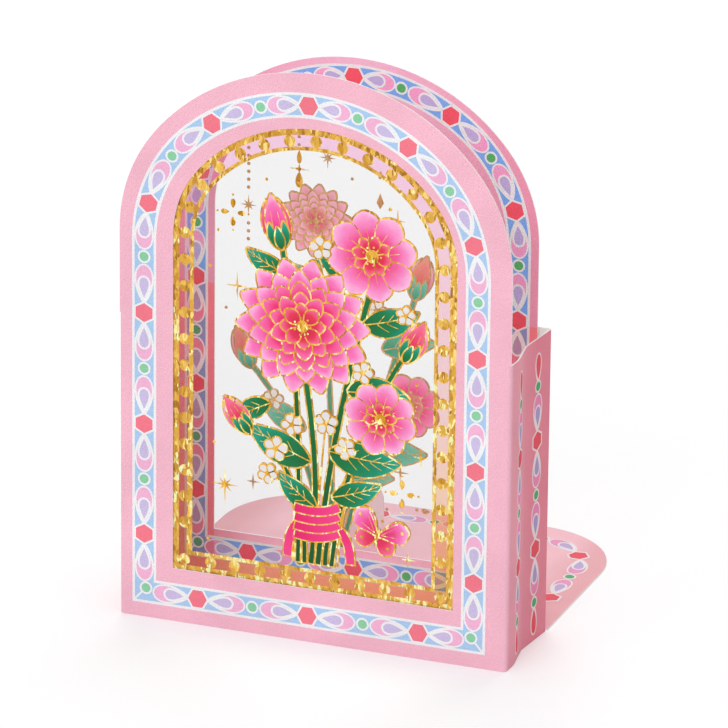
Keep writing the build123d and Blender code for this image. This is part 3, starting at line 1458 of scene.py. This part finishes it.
frontRamps = {
    "outer": [
        (0.0, (226, 20, 104)), (0.5, (243, 66, 146)), (0.78, (249, 118, 188)), (1.0, (253, 178, 224)),
    ],
    "middle": [(0.0, (214, 14, 74)), (0.6, (238, 44, 116)), (1.0, (250, 112, 176))],
    "heart": [(0.0, (200, 16, 56)), (0.6, (230, 46, 84)), (1.0, (250, 110, 150))],
    "rosy": [(0.0, (218, 30, 96)), (0.4, (242, 74, 142)), (0.75, (250, 138, 198)), (1.0, (253, 188, 228))],
    "coral": [(0.0, (206, 26, 66)), (0.5, (232, 52, 96)), (1.0, (250, 118, 156))],
    "white": [(0.0, (240, 226, 176)), (0.3, (232, 228, 226)), (1.0, (228, 226, 234))],
    "leaf": [(0.0, (0, 98, 44)), (0.45, (0, 120, 68)), (0.75, (8, 145, 112)), (1.0, (30, 164, 142))],
    "stem": [(0.0, (0, 84, 36)), (0.6, (0, 98, 46)), (1.0, (6, 112, 58))],
    "ribbon": [(0.0, (228, 22, 104)), (1.0, (246, 66, 140))],
}
# the rear flowers have the front's kinds of colour but are written paler: painted light that stands in for
# light shining through their inks from behind
rearBacklitRamps = {
    "outer": [(0.0, (222, 84, 110)), (0.5, (236, 126, 150)), (1.0, (247, 184, 200))],
    "heart": [(0.0, (206, 70, 84)), (1.0, (234, 128, 140))],
    "rosy": [(0.0, (224, 44, 100)), (0.5, (242, 84, 140)), (1.0, (251, 150, 192))],
    "coral": [(0.0, (210, 76, 74)), (0.5, (232, 112, 106)), (1.0, (244, 156, 144))],
    "white": [(0.0, (238, 226, 200)), (1.0, (238, 236, 238))],
    "leaf": [(0.0, (70, 150, 110)), (0.5, (92, 176, 146)), (1.0, (130, 202, 178))],
    "stem": [(0.0, (76, 140, 100)), (1.0, (104, 162, 124))],
}


# each stem has its start, the point that pulls it, its end and its half width; each leaf its foot,
# angle, length and bend; the flowers of one group don't overlap, and later groups lie over earlier ones
frontSpray = {
    "foot": 24.5,
    "stems": (
        (-1.0, (2.5, 50), (-3.5, 84), 0.75),
        (1.2, (4, 62), (17, 112), 0.75),
        (3.4, (4, 46), (19, 68), 0.6),
        (-3.0, (-2, 52), (-20, 64), 0.6),
        (5.4, (9, 62), (27, 92), 0.6),
        (-5.0, (-4, 80), (-10.5, 121), 0.6),
    ),
    "goldStems": (
        (-6.5, (-4, 42), (-12, 58)),
        (7.2, (8, 42), (14, 60)),
        (0.2, (1, 44), (3, 66)),
    ),
    "leaves": (
        ((4.5, 60), -14, 22, 22),
        ((-1.5, 56), 168, 21, -26),
        ((10, 79), 12, 19, -24),
        ((14.5, 100), 4, 18, 30),
        ((-9, 112), 168, 14, -30),
        ((9, 112), 118, 15, 24),
        ((0.5, 42), 156, 15, -30),
        ((5.5, 46), 8, 16, 26),
        ((-14, 72), 196, 13, 30),
    ),
    "groups": (
        (
            (addCosmos, (17, 121), 13.5, ("rosy", "heart"), 12),
            (addCosmos, (20, 72), 11, ("rosy", "heart"), 30),
            (addTulip, (-10.5, 119.5), 103, 16.5, ("outer", "coral")),
            (addTulip, (27, 90.5), 64, 14, ("coral", "outer")),
            (addTulip, (-20, 62), 128, 13, ("coral", "outer")),
            (addWrap, (0.8, 37.5), 13.5, 4),
        ),
        ((addDahlia, (-4, 97), 20.5, ("outer", "middle", "heart"), 4),),
        (
            (addBlossom, (-12, 58.5), 3.6, 10),
            (addBlossom, (-7, 66.5), 3.2, 40),
            (addBlossom, (-14.5, 50.5), 3.0, 60),
            (addBlossom, (3.5, 68.5), 3.5, 20),
            (addBlossom, (9.5, 61.5), 3.1, 50),
            (addBlossom, (14.5, 85.5), 3.2, 0),
            (addBlossom, (1.5, 121.5), 3.4, 30),
            (addBlossom, (27.5, 104.5), 2.8, 15),
            (addButterfly, (19.5, 36), 16, -18, ("outer", "coral")),
        ),
    ),
}
rearSpray = {
    "foot": 16.5,
    "stems": (
        (-8, (-6, 60), (-13, 110), 0.6),
        (-6, (0, 50), (16, 62), 0.6),
        (-10, (-14, 50), (-33, 70), 0.55),
        (-4, (6, 60), (18, 98), 0.55),
    ),
    "goldStems": (),
    "leaves": (
        ((8, 80), 24, 17, -20),
        ((4, 50), -12, 18, 20),
        ((-16, 52), 160, 16, -24),
        ((-12, 96), 150, 15, 20),
        ((-2, 38), 20, 14, -20),
    ),
    "groups": (
        (
            (addDahlia, (-13, 117), 11, ("outer", "outer", "heart"), 8),
            (addCosmos, (16.5, 64), 9.5, ("rosy", "heart"), 20),
            (addTulip, (17.5, 97), 74, 14, ("coral", "outer")),
            (addTulip, (-33, 69), 112, 13, ("coral", "outer")),
            (addBlossom, (6, 92), 3.2, 0),
            (addBlossom, (10, 50), 3.0, 30),
            (addBlossom, (-26, 60), 3.0, 12),
            (addBlossom, (1, 108), 2.8, 44),
        ),
    ),
}


def growSpray(setup):
    spray = newSpray()
    for u, pull, end, halfWidth in setup["stems"]:
        addStem(spray, (u, setup["foot"]), pull, end, halfWidth)
    for u, pull, end in setup["goldStems"]:
        addLine(spray, (u, setup["foot"]), pull, end, 0.3, 0.2)
    for details in setup["leaves"]:
        addLeaf(spray, *details)
    for group in setup["groups"]:
        addGroup(spray, group)
    return spray


frontInksOnFilm = petalInks("filmInk", frontRamps)
rearInksOnFilm = petalInks("rearFilmInk", rearBacklitRamps)
for name, canvas in (("front_spray", frontFilmCanvas), ("front_spray_rear", frontFilmRear)):
    printSpray(name, canvas, growSpray(frontSpray), frontInksOnFilm, gold)
for name, canvas in (("rear_spray", backFilmCanvas), ("rear_spray_rear", backFilmRear)):
    printSpray(name, canvas, growSpray(rearSpray), rearInksOnFilm, dullGold)
print("flowers printed")

# Sparkles, strings of dots and hangers in foil


def starOutline(at, reach, waist, points, second=None):
    # long rays, with shorter ones between them where second is given
    outline = []
    rays = points * (2 if second else 1)
    for i in range(2 * rays):
        if i % 2:
            radius = waist
        elif second and (i // 2) % 2:
            radius = second
        else:
            radius = reach[(i // (4 if second else 2)) % len(reach)]
        angle = pi / 2 + pi * i / rays
        outline.append((at[0] + radius * cos(angle), at[1] + radius * sin(angle)))
    return outline


def placedDrop(at, angle, tip, end, width):
    turned = blade(at, angle, 1, 1)
    return [bladePoint(turned, forward, sideways) for forward, sideways in teardrop(tip, end, width)]


def dropSparkle(at, size):
    # four drops with their points together, and a dot past each
    shapes = []
    for turn in range(4):
        reach = size if turn % 2 else size * 0.9
        shapes.append(placedDrop(at, 90 * turn, reach * 0.32, reach, size * 0.19))
        spot = bladePoint(blade(at, 90 * turn, 1, 1), reach * 1.3, 0)
        shapes.append(disc(size * 0.085, 12, spot))
    return shapes


def diamond(at, half, drop, rise):
    return [(at[0], at[1] - drop), (at[0] + half, at[1]), (at[0], at[1] + rise), (at[0] - half, at[1])]


sparkle = {
    "waist": 0.45,  # of the small stars with four points
    "dot": 0.5,
    "stringDot": 0.55,
    "stringPitch": 2.42,
}
frontSparkles = {
    "waist": 0.85,
    "drops": [((-25.6, 128.6), 4.1), ((26.9, 50.0), 4.3)],
    "eightPoint": [((-27.8, 45.0), (6.2, 4.6), 2.8)],
    "fourPoint": [
        ((-24.2, 106.5), (4.7, 3.6)), ((24.6, 132.6), (3.6, 2.6)), ((28.9, 30.0), (2.9, 2.6)),
        ((32.5, 62.0), (3.4, 2.4)),
    ],
    "dots": [
        (-15.4, 139.9), (-32.6, 111.6), (-33.1, 27.4), (-31.2, 57.7), (21.0, 40.8), (-30.0, 122.7),
        (22.4, 135.9), (31.0, 84.0),
    ],
}
rearSparkles = {
    "waist": 0.75,
    "strings": [(-34.1, 136.6, 6), (-34.1, 113.5, 3), (6.6, 132.8, 1)],
    "eightPoint": [((-34.1, 119.1), (3.2, 2.6), 2.0), ((-9.6, 136.6), (3.4, 2.6), 2.0)],
    "fourPoint": [((13.9, 42.8), (3.0, 3.0)), ((-32.3, 33.2), (2.7, 2.2))],
    "dots": [
        (9.8, 30.7), (19.2, 31.9), (-41.0, 86.5), (-23.5, 41.2), (-2.0, 131.2), (9.8, 123.4),
        (-18.5, 141.9), (-18.5, 139.5),
    ],
}


def printSparkles(name, canvas, setup, outline):
    shapes = []
    for at, size in setup.get("drops", []):
        shapes += dropSparkle(at, size)
    for at, reach, second in setup["eightPoint"]:
        shapes.append(starOutline(at, reach, setup["waist"], 4, second))
    for at, reach in setup["fourPoint"]:
        shapes.append(starOutline(at, reach, sparkle["waist"], 4))
    for at in setup["dots"]:
        shapes.append(disc(sparkle["dot"], 14, at))
    for u, top, count in setup.get("strings", []):
        spots = [(u, top - sparkle["stringPitch"] * i) for i in range(count)]
        shapes += [disc(sparkle["stringDot"], 14, spot) for spot in spots]
    printShapes(name, canvas, shapes, foil["sparkleLift"], outline)


def printHangers():
    # a pendant of drop, star and drop, and a string of two diamonds
    at = (-18.4, 132.1)
    shapes = [
        placedDrop((at[0], 134.2), 90, 3.6, -0.4, 0.75),
        starOutline(at, (1.8, 3.2), 0.5, 4),
        placedDrop((at[0], 131.0), -90, -0.2, 4.6, 1.15),
    ]
    printShapes("pendant", backFilmCanvas, shapes, foil["sparkleLift"], gold)
    shapes = [
        diamond((6.7, 133.4), 0.9, 1.2, 1.4),
        diamond((6.7, 125.0), 1.15, 1.9, 3.0),
        placedDrop((20.6, 31.8), 0, 2.6, 0, 0.8),
    ]
    printShapes("diamonds", backFilmCanvas, shapes, foil["sparkleLift"], dullGold)


printSparkles("front_sparkles", frontFilmCanvas, frontSparkles, gold)
printSparkles("rear_sparkles", backFilmCanvas, rearSparkles, dullGold)
printHangers()
print("sparkles printed")
